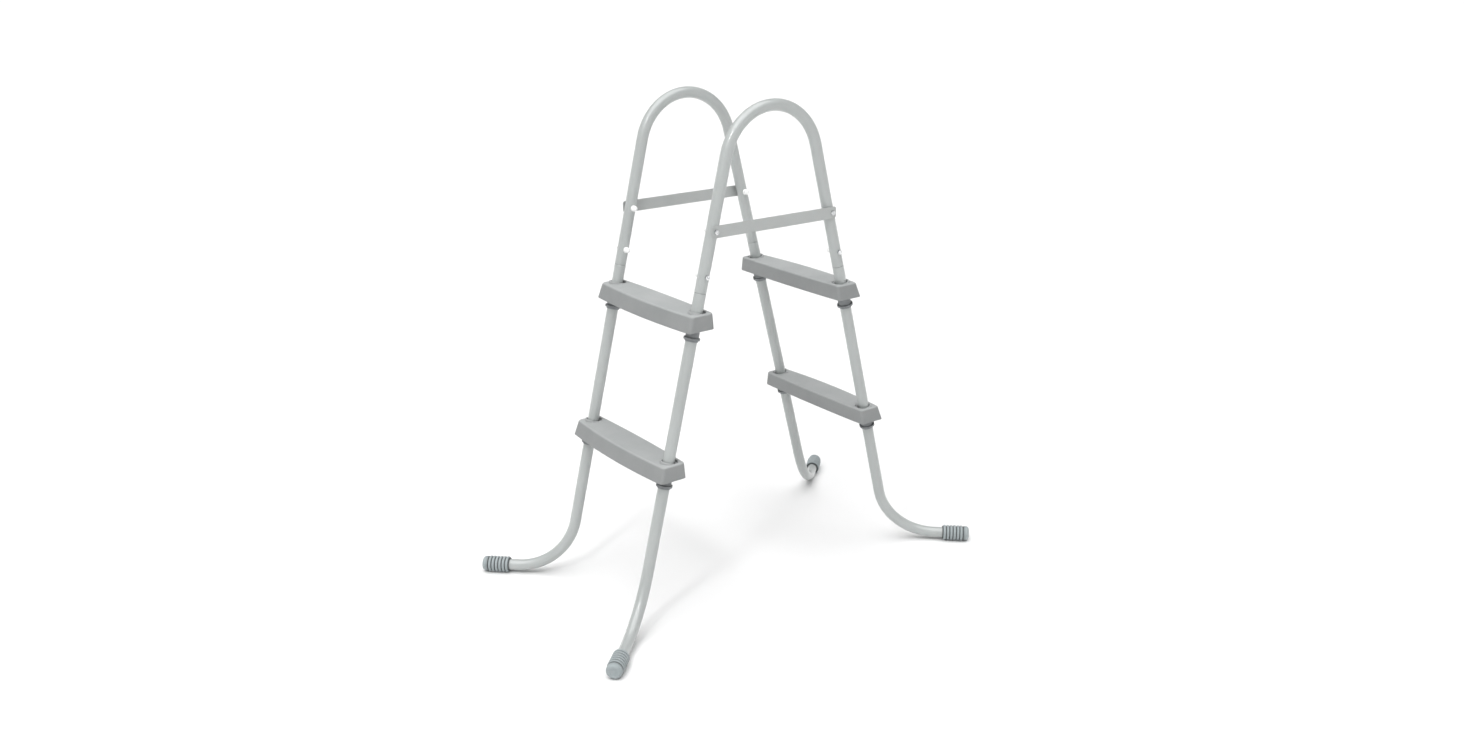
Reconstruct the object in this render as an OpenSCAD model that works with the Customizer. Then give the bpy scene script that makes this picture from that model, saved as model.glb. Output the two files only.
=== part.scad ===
// Pool ladder that straddles the wall of an above-ground pool.
// Two bent tube frames stand side by side. Each one is a bow handrail spliced onto two J-shaped legs.
// Four hollow treads, two flat straps and eight bolts tie the frames together.
// Millimetres. +Z is up, X runs across the pool wall and Y runs along the treads.
// The origin is on the ground under the middle. Front is -X, rear is +X, right is -Y, left is +Y.

/* [Tube frame] */
// Outside diameter of every tube
tube_diameter = 25.4; // [19:0.1:38]
// Wall thickness of every tube
tube_wall = 1.2; // [0.8:0.1:2]
// Loss of tube radius along a bend, from forming
bend_thinning = 0.02; // [0.01:0.01:0.5]
// Lean of every leg from upright, in degrees
lean = 14.13; // [8:0.01:20]
// Distance between the centre planes of the two tube frames
frame_spacing = 314; // [250:1:420]

/* [Handrails] */
// Bend radius of the handrail on the tube centre line
handrail_bend_radius = 122.4; // [95:0.1:150]
// Height of the seam where the handrail meets the leg
seam_height = 726.4; // [650:0.1:780]
// Distance of the splice bolt above the seam, along the tube
splice_bolt_offset = 35; // [20:1:50]

/* [Legs] */
// Outside diameter of the reduced leg end inside the handrail
spigot_diameter = 22.9; // [20:0.1:23]
// Length of the reduced leg end
spigot_length = 66; // [50:1:90]
// Length of the rolled edge at the shoulder of the leg
shoulder_length = 2.4; // [1:0.1:5]
// Depth of the rolled edge at the shoulder of the leg
shoulder_depth = 0.7; // [0.3:0.1:1]
// Bend radius of the foot on the tube centre line
foot_bend_radius = 142.3; // [80:0.1:200]
// Direction of the foot, in degrees from X towards Y
foot_turn = 43; // [0:0.5:60]
// Length of the level foot past the bend, boot included
foot_length = 85; // [75:1:160]

/* [Boots] */
// Length of the boot
boot_length = 65; // [50:1:80]
// Diameter over the ribs, which rest on the ground
boot_rib_diameter = 37; // [34:0.5:42]
// Diameter of the boot between the ribs
boot_sleeve_diameter = 31.6; // [29:0.1:34]
// Diameter of the plain rounded end
boot_nose_diameter = 34.4; // [30:0.1:37]
// Length of the plain rounded end
boot_nose_length = 13; // [9:0.5:20]
// Rounding radius of the plain end
boot_nose_radius = 7; // [2:0.5:8]
// Thickness of rubber over the end of the tube
boot_end_wall = 5; // [3:0.5:8]
// Number of ribs
boot_rib_count = 6; // [3:1:8]
// Distance from one rib to the next
boot_rib_pitch = 8.2; // [6:0.1:12]
// Radius of the round crest of a rib
boot_rib_radius = 2.3; // [1:0.1:3]
// Radius of the shallow dish in the end face
boot_dish_radius = 8; // [3:0.5:10]
// Depth of the shallow dish in the end face
boot_dish_depth = 1; // [0.5:0.1:2]

/* [Straps] */
// Height of the strap bolts above the ground
strap_height = 852; // [800:1:900]
// Distance between the two bolts of one strap
strap_bolt_spacing = 312.8; // [280:0.1:340]
// Width of the flat strap
strap_width = 26; // [18:0.5:35]
// Thickness of the flat strap
strap_thickness = 2; // [1.5:0.1:4]
// Length of strap past each bolt
strap_overhang = 10.5; // [8:0.5:20]
// Corner radius of the strap
strap_corner = 6; // [2:0.5:9]

/* [Treads] */
// Height of the upper tread surface
upper_tread_height = 686; // [640:1:700]
// Height of the lower tread surface
lower_tread_height = 371; // [300:1:420]
// Length of the tread along Y at its top
tread_length = 360; // [350:1:420]
// Height of the tread
tread_depth = 34; // [25:1:45]
// Reach of the top from the tube axis, away from the pool wall
tread_outer_reach = 27.3; // [25:0.1:60]
// Reach of the top from the tube axis, towards the pool wall
tread_inner_reach = 27.2; // [25:0.1:60]
// Extra reach of the outer long side at the bottom
tread_outer_flare = 11; // [0:0.5:15]
// Extra reach of each short end at the bottom
tread_end_flare = 5; // [0:0.5:10]
// Bulge of the outer long side at mid-length
tread_outer_bow = 10; // [0:0.5:15]
// Bulge of the inner long side at mid-length
tread_inner_bow = 4; // [0:0.5:10]
// Radius of the upright corners
tread_corner = 9; // [4:0.5:14]
// Radius of the edge around the top
tread_edge = 4; // [1:0.5:6]
// Wall thickness of the tread
tread_wall = 2.8; // [2:0.1:4]
// Thickness of the ribs below the top
tread_rib_thickness = 2; // [1.5:0.1:3]
// Depth of the ribs below the tread surface
tread_rib_depth = 14; // [8:1:30]
// Distance from one cross rib to the next
tread_rib_pitch = 44; // [30:1:60]
// Number of cross ribs
tread_rib_count = 7; // [3:1:9]
// Radius of the raised ring around each tube
tread_ring_radius = 18.7; // [17:0.1:22]
// Height of the raised ring above the tread surface, on the tube axis
tread_ring_rise = 1; // [0:0.1:3]
// Thickness of the raised ring
tread_ring_thickness = 5; // [3:0.5:8]
// Radius of the socket wall below the ring
tread_socket_radius = 17.4; // [16.5:0.1:20]
// Depth of the socket wall below the tread surface
tread_socket_depth = 31; // [20:1:34]
// Radius of the countersink at the mouth of the socket
tread_socket_mouth = 15.8; // [15:0.1:17]

/* [Collars] */
// Outside radius of the collar inside the tread socket
collar_radius = 14.4; // [14:0.1:16]
// Radial clearance between collar and socket
collar_clearance = 0.1; // [0:0.05:0.5]
// Depth of the collar top below the tread surface, on the upper treads
upper_collar_top = 7; // [4:0.5:10]
// Depth of the collar top below the tread surface, on the lower treads
lower_collar_top = 4; // [4:0.5:10]
// Length of the collar
collar_length = 54; // [40:1:60]
// Radius of the collar flange
collar_flange_radius = 17.7; // [16:0.1:20]
// Thickness of the collar flange
collar_flange_thickness = 4.5; // [2:0.5:8]
// Length of the collar below its flange
collar_tail_length = 3.5; // [2:0.5:10]
// Gap between the two halves of a collar
collar_seam_gap = 0.6; // [0.2:0.1:2]
// Diameter of the peg that locks a collar half into the leg
collar_peg_diameter = 6; // [4:0.1:8]
// Reach of the peg past the inside of the tube wall
collar_peg_reach = 1.2; // [0.5:0.1:3]
// Distance of the peg below the collar top
collar_peg_drop = 22; // [10:1:40]

/* [Fasteners] */
// Diameter of the bolt shank
bolt_diameter = 6; // [5:0.5:8]
// Diameter of the holes for bolts and pegs
hole_diameter = 6.4; // [5.5:0.1:9]
// Distance across the flats of the bolt head and nut
hex_flats = 10; // [8:0.5:13]
// Height of the bolt head
bolt_head_height = 4; // [3:0.1:6]
// Height of the nut
nut_height = 5; // [4:0.1:7]
// Length of bolt past the nut
bolt_tail = 1.5; // [0.5:0.1:3]
// Diameter of the nut cap
cap_diameter = 13.4; // [12.5:0.1:16]
// Diameter of the rim at the base of the nut cap
cap_rim_diameter = 15; // [13:0.1:18]
// Thickness of the rim at the base of the nut cap
cap_rim_thickness = 1.2; // [0.8:0.1:2]
// Length of the nut cap
cap_length = 12; // [9:0.5:16]
// Radial clearance between nut corners and cap
cap_clearance = 0.15; // [0.05:0.05:0.5]
// Gap between the bolt end and the inside of the cap
cap_end_gap = 0.8; // [0.2:0.1:2]

/* [Hidden] */
front = -1;
rear = 1;
right = -1;
left = 1;
tube_radius = tube_diameter / 2;
bore_radius = tube_radius - tube_wall;
half_spacing = frame_spacing / 2;
strap_half_span = strap_bolt_spacing / 2;
overrun = 10;
bend_lap = 1;
tiny = 0.01;

// Distance of the leg axis from the middle of the ladder at a height
function leg_x(height) = strap_half_span + (strap_height - height) * tan(lean);

handrail_bend_height = strap_height + (strap_half_span - handrail_bend_radius / cos(lean)) / tan(lean);
handrail_arm_height = handrail_bend_height + handrail_bend_radius * sin(lean);
handrail_arm_length = (handrail_arm_height - seam_height) / cos(lean);
splice_bolt_height = seam_height + splice_bolt_offset * cos(lean);

foot_bend_angle = acos(sin(lean) * cos(foot_turn));
foot_twist = atan2(sin(foot_turn), cos(foot_turn) * cos(lean));
foot_bend_drop = foot_bend_radius * tan(foot_bend_angle / 2) * cos(lean);
foot_bend_height = boot_rib_diameter / 2 + foot_bend_drop;
leg_length = (seam_height - foot_bend_height) / cos(lean);
foot_tube_length = foot_length - boot_end_wall;

boot_first_rib = boot_rib_radius + (boot_length - boot_nose_length - (boot_rib_count - 1) * boot_rib_pitch
    - 2 * boot_rib_radius) / 2;

hex_circle_diameter = hex_flats / cos(30);
nut_seat = tube_radius + nut_height;
cap_cavity_radius = hex_circle_diameter / 2 + cap_clearance;
cap_cavity_depth = nut_height + bolt_tail + cap_end_gap;

corner_steps = 6;
bow_steps = 12;
edge_steps = 4;
tread_half_length = tread_length / 2;

tube_colour = [0.73, 0.745, 0.74];
strap_colour = [0.71, 0.72, 0.715];
tread_colour = [0.62, 0.63, 0.635];
collar_colour = [0.42, 0.43, 0.44];
boot_colour = [0.54, 0.58, 0.59];
zinc_colour = [0.78, 0.79, 0.8];
cap_colour = [0.95, 0.95, 0.95];

$fn = 64;

// Mirrors a rear piece to the front face when asked
module on_face(face) {
    if (face == rear)
        children();
    else
        mirror([1, 0, 0])
            children();
}

// Mirrors a left piece to the right side when asked
module on_side(side) {
    if (side == left)
        children();
    else
        mirror([0, 1, 0])
            children();
}

// Puts children on a leg axis at a height, with their Z up along the leg and their Y outwards
module on_leg(face, side, height) {
    on_face(face)
        on_side(side)
            translate([leg_x(height), half_spacing, height])
                rotate([0, -lean, 0])
                    children();
}

// Puts children on a bolt axis, with their Z pointing outwards along Y
module on_bolt(face, side, height) {
    on_face(face)
        on_side(side)
            translate([leg_x(height), half_spacing, height])
                rotate([-90, 0, 0])
                    children();
}

// Solid bend in the XZ plane, centred on the origin, from one direction through an angle
module bend(radius, bend_radius, start, angle) {
    lap = atan(bend_lap / bend_radius);
    rotate([90, 0, 0])
        rotate([0, 0, start - lap])
            rotate_extrude(angle = angle + 2 * lap)
                translate([bend_radius, 0])
                    circle(radius - bend_thinning);
}

// Solid bow of a handrail in the XZ plane: one bend and two straight arms
module handrail_sweep(radius, extra) {
    translate([0, 0, handrail_bend_height])
        bend(radius, handrail_bend_radius, lean, 180 - 2 * lean);
    for (face = [front, rear])
        on_face(face)
            translate([handrail_bend_radius * cos(lean), 0, handrail_arm_height])
                rotate([0, 180 - lean, 0])
                    cylinder(h = handrail_arm_length + extra, r = radius);
}

// Handrail tube with the strap bolt holes and the splice bolt holes
module handrail(side) {
    color(tube_colour)
        difference() {
            translate([0, side * half_spacing, 0])
                difference() {
                    handrail_sweep(tube_radius, 0);
                    handrail_sweep(bore_radius, overrun);
                }
            for (face = [front, rear])
                for (height = [strap_height, splice_bolt_height])
                    on_bolt(face, side, height)
                        cylinder(h = tube_diameter + overrun, d = hole_diameter, center = true);
        }
}

// Puts children at the end of the foot bend, with their Z along the level foot
module foot_end() {
    rotate([0, 0, foot_twist])
        translate([foot_bend_radius, 0, 0])
            rotate([0, -foot_bend_angle, 0])
                translate([-foot_bend_radius, 0, 0])
                    rotate([180, 0, 0])
                        children();
}

// Bend and level foot below a leg
module foot_sweep(radius, extra) {
    rotate([0, 0, foot_twist])
        translate([foot_bend_radius, 0, 0])
            bend(radius, foot_bend_radius, 180, foot_bend_angle);
    foot_end()
        cylinder(h = foot_tube_length + extra, r = radius);
}

// Outside of a leg: foot, straight, rolled shoulder and reduced end
module leg_outside() {
    foot_sweep(tube_radius, 0);
    cylinder(h = leg_length - shoulder_length, r = tube_radius);
    translate([0, 0, leg_length - shoulder_length])
        cylinder(h = shoulder_length, r1 = tube_radius, r2 = tube_radius - shoulder_depth);
    cylinder(h = leg_length + spigot_length, d = spigot_diameter);
}

// Bore of a leg, narrower inside the reduced end
module leg_inside() {
    foot_sweep(bore_radius, overrun);
    cylinder(h = leg_length - shoulder_length - 2 * tube_wall, r = bore_radius);
    cylinder(h = leg_length + spigot_length + overrun, r = spigot_diameter / 2 - tube_wall);
}

// Depth of the collar top below its own tread
function collar_top(tread_height) = tread_height == upper_tread_height ? upper_collar_top : lower_collar_top;

// Height of the collar pegs of a tread
function peg_height(tread_height) =
    tread_height - (collar_top(tread_height) + collar_peg_drop) * cos(lean);

// Leg tube with splice bolt holes and collar peg holes
module leg(face, side) {
    color(tube_colour)
        difference() {
            on_leg(face, side, foot_bend_height)
                difference() {
                    leg_outside();
                    leg_inside();
                }
            for (height = [splice_bolt_height, peg_height(upper_tread_height), peg_height(lower_tread_height)])
                on_bolt(face, side, height)
                    cylinder(h = tube_diameter + overrun, d = hole_diameter, center = true);
        }
}

// Half section of a boot: sleeve, round ribs and rounded nose
module boot_section() {
    square([boot_sleeve_diameter / 2, boot_length - boot_nose_length / 2]);
    for (rib = [0 : boot_rib_count - 1])
        translate([boot_rib_diameter / 2 - boot_rib_radius, boot_first_rib + rib * boot_rib_pitch])
            circle(boot_rib_radius);
    translate([0, boot_length - boot_nose_length]) {
        square([boot_nose_diameter / 2, boot_nose_length - boot_nose_radius]);
        square([boot_nose_diameter / 2 - boot_nose_radius, boot_nose_length]);
        translate([boot_nose_diameter / 2 - boot_nose_radius, boot_nose_length - boot_nose_radius])
            circle(boot_nose_radius);
    }
}

// Ribbed boot pushed over the end of a foot
module boot(face, side) {
    color(boot_colour)
        on_leg(face, side, foot_bend_height)
            foot_end()
                translate([0, 0, foot_length - boot_length])
                    difference() {
                        rotate_extrude()
                            boot_section();
                        translate([0, 0, -overrun])
                            cylinder(h = boot_length - boot_end_wall + overrun, r = tube_radius);
                        translate([0, 0, boot_length - boot_dish_depth])
                            cylinder(h = overrun, r = boot_dish_radius);
                    }
}

// Flat outline of a strap with rounded corners, in the XY plane
module strap_outline() {
    half_length = strap_half_span + strap_overhang;
    square([2 * half_length, strap_width - 2 * strap_corner], center = true);
    square([2 * (half_length - strap_corner), strap_width], center = true);
    for (x = [-1, 1])
        for (y = [-1, 1])
            translate([x * (half_length - strap_corner), y * (strap_width / 2 - strap_corner)])
                circle(strap_corner);
}

// Flat strap bolted across the outside of one handrail
module strap(side) {
    color(strap_colour)
        on_side(side)
            translate([0, half_spacing + tube_radius, strap_height])
                rotate([-90, 0, 0])
                    linear_extrude(strap_thickness)
                        difference() {
                            strap_outline();
                            for (x = [-1, 1])
                                translate([x * strap_half_span, 0])
                                    circle(d = hole_diameter);
                        }
}

// Bulge of a long side at a distance from mid-length
function bulge(y, end, bow) = bow * (1 - pow(y / end, 2));

// Points along one bowed long side, from one rounded corner to the other
function long_side(reach, bow, end, corner) =
    let (straight = end - corner, centre = reach + bulge(straight, end, bow) - corner)
    concat(
        [for (i = [0 : corner_steps])
            let (turn = 90 * i / corner_steps - 90)
            [centre + corner * cos(turn), -straight + corner * sin(turn)]],
        [for (i = [1 : bow_steps - 1])
            let (y = straight * (2 * i / bow_steps - 1))
            [reach + bulge(y, end, bow), y]],
        [for (i = [0 : corner_steps])
            let (turn = 90 * i / corner_steps)
            [centre + corner * cos(turn), straight + corner * sin(turn)]]
    );

// Thin slice of a tread at a depth below its surface, drawn in by an inset
module tread_slice(depth, inset) {
    flare = depth / tread_depth;
    end = tread_half_length + tread_end_flare * flare - inset;
    outer = tread_outer_reach + tread_outer_flare * flare - inset;
    inner = tread_inner_reach - inset;
    corner = tread_corner - inset;
    translate([0, 0, -depth])
        linear_extrude(tiny)
            polygon(concat(
                long_side(outer, tread_outer_bow, end, corner),
                [for (point = long_side(inner, tread_inner_bow, end, corner)) -point]
            ));
}

// Solid shape of a tread with a rounded edge around its top
module tread_block() {
    hull() {
        tread_slice(tread_depth, 0);
        for (i = [0 : edge_steps])
            tread_slice(
                tread_edge * (1 - sin(90 * i / edge_steps)) + tiny,
                tread_edge * (1 - cos(90 * i / edge_steps))
            );
    }
}

// Space under the top of a tread
module tread_hollow() {
    hull() {
        tread_slice(tread_depth + overrun, tread_wall);
        tread_slice(tread_wall + tread_edge / 2, tread_wall);
        tread_slice(tread_wall, tread_wall + tread_edge / 2);
    }
}

// Ribs that stiffen the top from below
module tread_ribs() {
    translate([-tread_rib_thickness / 2, -tread_length, -tread_rib_depth])
        cube([tread_rib_thickness, 2 * tread_length, tread_rib_depth - tiny]);
    for (i = [0 : tread_rib_count - 1])
        translate([-tread_length, (i - (tread_rib_count - 1) / 2) * tread_rib_pitch - tread_rib_thickness / 2,
            -tread_rib_depth])
            cube([2 * tread_length, tread_rib_thickness, tread_rib_depth - tiny]);
}

// Puts children on both tube axes of a tread, with their Z up along the tube
module on_tread_sockets() {
    for (side = [right, left])
        translate([0, side * half_spacing, 0])
            rotate([0, -lean, 0])
                children();
}

// Hollow tread with two sockets and raised rings for the leg tubes
module tread(face, height) {
    color(tread_colour)
        on_face(face)
            translate([leg_x(height), 0, height])
                difference() {
                    union() {
                        difference() {
                            tread_block();
                            difference() {
                                tread_hollow();
                                tread_ribs();
                            }
                        }
                        on_tread_sockets() {
                            translate([0, 0, -tread_socket_depth])
                                cylinder(h = tread_socket_depth, r = tread_socket_radius);
                            translate([0, 0, tread_ring_rise - tread_ring_thickness])
                                cylinder(h = tread_ring_thickness, r = tread_ring_radius);
                        }
                    }
                    on_tread_sockets() {
                        translate([0, 0, tread_ring_rise])
                            cylinder(h = overrun, r = tread_ring_radius);
                        translate([0, 0, -tread_depth - overrun])
                            cylinder(h = tread_depth + 2 * overrun, r = collar_radius + collar_clearance);
                        translate([0, 0, tread_ring_rise + collar_radius - tread_socket_mouth])
                            cylinder(h = tread_socket_mouth - collar_radius + tiny, r1 = collar_radius,
                                r2 = tread_socket_mouth);
                    }
                }
}

// Whole collar around the tube, before it is split; Z = 0 is its top
module collar_body() {
    difference() {
        translate([0, 0, -collar_length])
            union() {
                cylinder(h = collar_length, r = collar_radius);
                translate([0, 0, collar_tail_length])
                    cylinder(h = collar_flange_thickness, r = collar_flange_radius);
            }
        translate([0, 0, -collar_length - overrun])
            cylinder(h = collar_length + 2 * overrun, r = tube_radius);
    }
}

// Half of a collar on the +Y side of its axis, with the peg that enters the leg
module collar_shell() {
    block = 4 * collar_flange_radius;
    difference() {
        collar_body();
        translate([-block / 2, collar_seam_gap / 2 - block, -2 * collar_length])
            cube([block, block, 4 * collar_length]);
    }
    translate([0, bore_radius - collar_peg_reach, -collar_peg_drop])
        rotate([-90, 0, 0])
            cylinder(h = (tube_radius + collar_radius) / 2 - bore_radius + collar_peg_reach,
                d = collar_peg_diameter);
}

// Collar half in place; the outside half is the one away from the middle of the ladder
module collar_half(face, height, side, outside) {
    color(collar_colour)
        on_leg(face, side, height - collar_top(height) * cos(lean))
            if (outside)
                collar_shell();
            else
                mirror([0, 1, 0])
                    collar_shell();
}

// Hexagonal prism used by the bolt heads and nuts
module hexagon(height) {
    linear_extrude(height)
        polygon([for (turn = [0 : 60 : 300]) hex_circle_diameter / 2 * [cos(turn), sin(turn)]]);
}

// Bolt along Z whose head rests at a seat height
module bolt(seat) {
    translate([0, 0, seat])
        hexagon(bolt_head_height);
    translate([0, 0, -nut_seat - bolt_tail])
        cylinder(h = seat + nut_seat + bolt_tail + tiny, d = bolt_diameter);
}

// Nut against the inner side of the tube
module nut() {
    translate([0, 0, -nut_seat])
        difference() {
            hexagon(nut_height);
            translate([0, 0, -overrun])
                cylinder(h = nut_height + 2 * overrun, d = bolt_diameter);
        }
}

// Domed cap over a nut and the end of its bolt
module nut_cap() {
    dome = cap_diameter / 2;
    translate([0, 0, -tube_radius])
        difference() {
            union() {
                translate([0, 0, -cap_rim_thickness])
                    cylinder(h = cap_rim_thickness, d = cap_rim_diameter);
                translate([0, 0, dome - cap_length])
                    cylinder(h = cap_length - dome, d = cap_diameter);
                translate([0, 0, dome - cap_length])
                    sphere(dome);
            }
            translate([0, 0, -cap_cavity_depth])
                cylinder(h = cap_cavity_depth + overrun, r = cap_cavity_radius);
        }
}

// Repeats children on the bolt axes of all four legs at a height
module on_four_bolts(height) {
    for (face = [front, rear])
        for (side = [right, left])
            on_bolt(face, side, height)
                children();
}

module handrail_left() { handrail(left); }
module handrail_right() { handrail(right); }
module leg_front_left() { leg(front, left); }
module leg_front_right() { leg(front, right); }
module leg_rear_left() { leg(rear, left); }
module leg_rear_right() { leg(rear, right); }
module boot_front_left() { boot(front, left); }
module boot_front_right() { boot(front, right); }
module boot_rear_left() { boot(rear, left); }
module boot_rear_right() { boot(rear, right); }
module strap_left() { strap(left); }
module strap_right() { strap(right); }
module tread_front_upper() { tread(front, upper_tread_height); }
module tread_front_lower() { tread(front, lower_tread_height); }
module tread_rear_upper() { tread(rear, upper_tread_height); }
module tread_rear_lower() { tread(rear, lower_tread_height); }
module collar_front_upper_left_inside() { collar_half(front, upper_tread_height, left, false); }
module collar_front_upper_left_outside() { collar_half(front, upper_tread_height, left, true); }
module collar_front_upper_right_inside() { collar_half(front, upper_tread_height, right, false); }
module collar_front_upper_right_outside() { collar_half(front, upper_tread_height, right, true); }
module collar_front_lower_left_inside() { collar_half(front, lower_tread_height, left, false); }
module collar_front_lower_left_outside() { collar_half(front, lower_tread_height, left, true); }
module collar_front_lower_right_inside() { collar_half(front, lower_tread_height, right, false); }
module collar_front_lower_right_outside() { collar_half(front, lower_tread_height, right, true); }
module collar_rear_upper_left_inside() { collar_half(rear, upper_tread_height, left, false); }
module collar_rear_upper_left_outside() { collar_half(rear, upper_tread_height, left, true); }
module collar_rear_upper_right_inside() { collar_half(rear, upper_tread_height, right, false); }
module collar_rear_upper_right_outside() { collar_half(rear, upper_tread_height, right, true); }
module collar_rear_lower_left_inside() { collar_half(rear, lower_tread_height, left, false); }
module collar_rear_lower_left_outside() { collar_half(rear, lower_tread_height, left, true); }
module collar_rear_lower_right_inside() { collar_half(rear, lower_tread_height, right, false); }
module collar_rear_lower_right_outside() { collar_half(rear, lower_tread_height, right, true); }
module strap_bolts() {
    color(zinc_colour)
        on_four_bolts(strap_height)
            bolt(tube_radius + strap_thickness);
}
module strap_nuts() {
    color(zinc_colour)
        on_four_bolts(strap_height)
            nut();
}
module strap_nut_caps() {
    color(cap_colour)
        on_four_bolts(strap_height)
            nut_cap();
}
module splice_bolts() {
    color(zinc_colour)
        on_four_bolts(splice_bolt_height)
            bolt(tube_radius);
}
module splice_nuts() {
    color(zinc_colour)
        on_four_bolts(splice_bolt_height)
            nut();
}
module splice_nut_caps() {
    color(cap_colour)
        on_four_bolts(splice_bolt_height)
            nut_cap();
}

handrail_left();
handrail_right();
leg_front_left();
leg_front_right();
leg_rear_left();
leg_rear_right();
boot_front_left();
boot_front_right();
boot_rear_left();
boot_rear_right();
strap_left();
strap_right();
tread_front_upper();
tread_front_lower();
tread_rear_upper();
tread_rear_lower();
collar_front_upper_left_inside();
collar_front_upper_left_outside();
collar_front_upper_right_inside();
collar_front_upper_right_outside();
collar_front_lower_left_inside();
collar_front_lower_left_outside();
collar_front_lower_right_inside();
collar_front_lower_right_outside();
collar_rear_upper_left_inside();
collar_rear_upper_left_outside();
collar_rear_upper_right_inside();
collar_rear_upper_right_outside();
collar_rear_lower_left_inside();
collar_rear_lower_left_outside();
collar_rear_lower_right_inside();
collar_rear_lower_right_outside();
strap_bolts();
strap_nuts();
strap_nut_caps();
splice_bolts();
splice_nuts();
splice_nut_caps();
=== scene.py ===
"""Looks of a pool ladder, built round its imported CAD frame.

Metres throughout. +Z is up, the front face is at -X and the right side at -Y.
Tubes, boots, straps, treads and fasteners get finer meshes than the CAD nodes they stand for.
Collars and nuts keep their CAD meshes and get better materials.
"""

import math

import bmesh
import bpy
from mathutils import Matrix, Vector


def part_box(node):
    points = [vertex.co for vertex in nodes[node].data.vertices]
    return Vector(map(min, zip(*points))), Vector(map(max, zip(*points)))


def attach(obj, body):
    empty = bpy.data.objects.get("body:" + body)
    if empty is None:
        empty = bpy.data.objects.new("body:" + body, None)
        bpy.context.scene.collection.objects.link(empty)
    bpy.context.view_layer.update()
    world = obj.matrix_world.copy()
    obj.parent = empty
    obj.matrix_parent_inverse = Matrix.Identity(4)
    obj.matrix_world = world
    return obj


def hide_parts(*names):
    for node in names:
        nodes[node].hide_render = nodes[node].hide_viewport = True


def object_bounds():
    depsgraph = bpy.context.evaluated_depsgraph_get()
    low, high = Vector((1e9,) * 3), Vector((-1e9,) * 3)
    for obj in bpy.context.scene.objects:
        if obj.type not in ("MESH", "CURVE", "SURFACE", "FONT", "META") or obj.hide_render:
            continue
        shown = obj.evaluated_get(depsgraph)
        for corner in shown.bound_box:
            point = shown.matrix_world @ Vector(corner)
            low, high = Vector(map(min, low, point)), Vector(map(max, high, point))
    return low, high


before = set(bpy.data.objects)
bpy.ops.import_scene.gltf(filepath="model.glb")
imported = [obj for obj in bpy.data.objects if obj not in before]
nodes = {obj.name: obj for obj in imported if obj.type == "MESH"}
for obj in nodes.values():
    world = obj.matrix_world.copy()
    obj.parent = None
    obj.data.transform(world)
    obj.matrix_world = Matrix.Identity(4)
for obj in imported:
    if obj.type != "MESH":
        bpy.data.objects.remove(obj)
cad_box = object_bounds()

# ---------------------------------------------------------------- dimensions
MM = 0.001
WELD = 0.002 * MM
POLE_RADIUS = 0.02 * MM
ROUND_SEGMENTS = 64
SMOOTH_ANGLE = 35
FRONT, REAR = -1, 1
RIGHT, LEFT = -1, 1
FACES = {"front": FRONT, "rear": REAR}
SIDES = {"left": LEFT, "right": RIGHT}

TUBE_RADIUS = 12.7 * MM
TUBE_WALL = 1.2 * MM
TUBE_INNER = TUBE_RADIUS - TUBE_WALL
TUBE_SEGMENTS = 56
TUBE_END_EDGE = 0.5 * MM
LEAN = math.radians(14.13)
HALF_SPACING = 157 * MM
STRAP_HEIGHT = 852 * MM
STRAP_HALF_SPAN = 156.4 * MM

HANDRAIL_BEND = 122.4 * MM
HANDRAIL_ARM_STEPS = 12
HANDRAIL_BEND_STEPS = 64
SEAM_HEIGHT = 726.4 * MM
SPLICE_BOLT_RISE = 35 * MM
SPLICE_BOLT_HEIGHT = SEAM_HEIGHT + SPLICE_BOLT_RISE * math.cos(LEAN)

SPIGOT_RADIUS = 11.45 * MM
SPIGOT_LENGTH = 66 * MM
SHOULDER_LENGTH = 2.4 * MM
SHOULDER_DEPTH = 0.7 * MM
SHOULDER_STEPS = 4
LEG_STEPS = 40
FOOT_BEND = 142.3 * MM
FOOT_BEND_STEPS = 48
FOOT_TURN = math.radians(43)
FOOT_LENGTH = 85 * MM
FOOT_STEPS = 4

BOOT_LENGTH = 65 * MM
BOOT_RIB_RADIUS = 18.5 * MM
BOOT_SLEEVE_RADIUS = 15.8 * MM
BOOT_NOSE_RADIUS = 17.2 * MM
BOOT_NOSE_LENGTH = 13 * MM
BOOT_NOSE_ROUND = 7 * MM
BOOT_END_WALL = 5 * MM
BOOT_RIBS = 6
BOOT_RIB_PITCH = 8.2 * MM
BOOT_RIB_HALF = 3.3 * MM
BOOT_RIB_POWER = 2.5
BOOT_EDGE = 0.8 * MM
BOOT_MOUTH_EDGE = 0.4 * MM
BOOT_PROFILE_STEP = 0.35 * MM
# Width over which the painted shade in the boot grooves fades out up the rib flanks.
BOOT_GROOVE_FADE = 2.2 * MM
BOOT_SMOOTH_ANGLE = 50
BOOT_DISH_RADIUS = 8 * MM
BOOT_DISH_DEPTH = 1 * MM

STRAP_THICKNESS = 2 * MM
STRAP_CORNER = 6 * MM
STRAP_CORNER_STEPS = 8
STRAP_EDGE = 0.4 * MM
STRAP_HOLE_RADIUS = 3.2 * MM
STRAP_HOLE_SEGMENTS = 32
STRAP_DRILL_REACH = 20 * MM

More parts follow.
